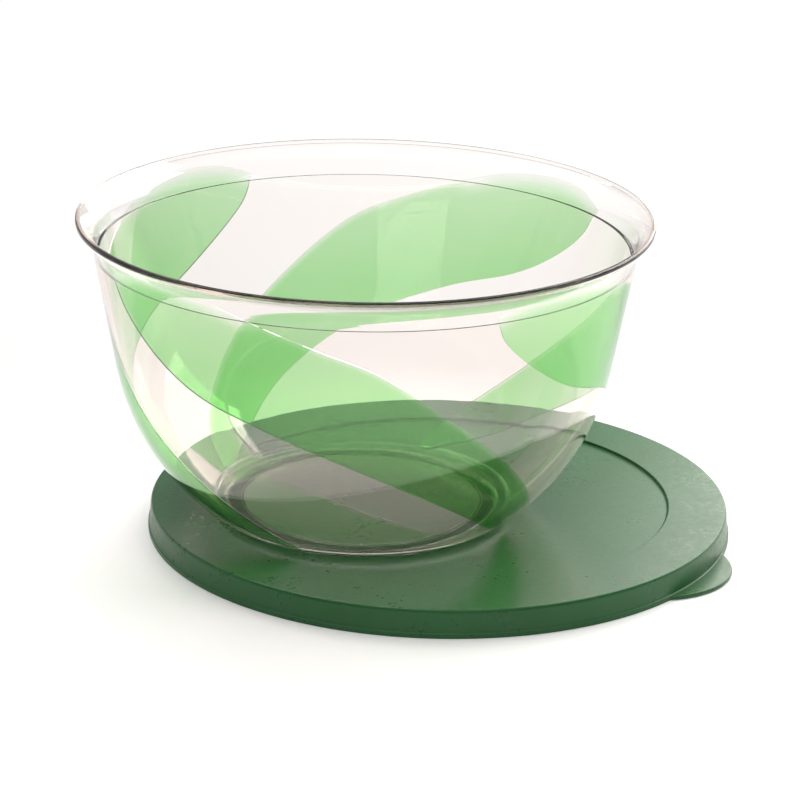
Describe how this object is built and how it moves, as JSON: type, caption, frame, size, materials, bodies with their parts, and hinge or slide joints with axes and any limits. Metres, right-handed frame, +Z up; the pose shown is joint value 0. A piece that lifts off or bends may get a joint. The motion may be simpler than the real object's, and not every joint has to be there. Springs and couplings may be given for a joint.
{
  "type": "salad bowl with storage lid",
  "caption": "Round clear salad bowl with flared lip and green swirls in its wall, standing on its flexible press-on storage lid with a pull tab.",
  "frame": {"origin": "under the middle of the whole set, on the surface that the lid stands on", "axes": "+Z up; +X from the bowl's side of the set to the lid's open side, which is to the right when the set is looked at along +Y"},
  "size_m": [0.3006, 0.272, 0.1508],
  "materials": {
    "clear_plastic": "polished clear rigid plastic, water clear with a faint cool tint at its edges",
    "green_tint": "polished translucent green rigid plastic, moulded flush into the clear wall",
    "lid_green": "satin, finely grained flexible plastic, deep green"
  },
  "bodies": {
    "lid": {"storage_lid": "lid_green"},
    "bowl": {"bowl_shell": "clear_plastic", "green_wave_1": "green_tint", "green_wave_2": "green_tint", "green_wave_3": "green_tint", "green_wave_4": "green_tint"},
    "tab": {"pull_tab": "lid_green"}
  },
  "joints": [
    {"name": "bowl_lift", "type": "slide", "parent": "lid", "child": "bowl", "axis": [0, 0, 1], "range_m": [0, 0.2]},
    {"name": "tab_flex", "type": "hinge", "parent": "lid", "child": "tab", "pos_m": [0.13436, -0.0655, 0.0011], "axis": [-0.4894, -0.8721, 0], "range_deg": [0, 60], "stiffness_Nm_per_rad": 0.01}
  ]
}
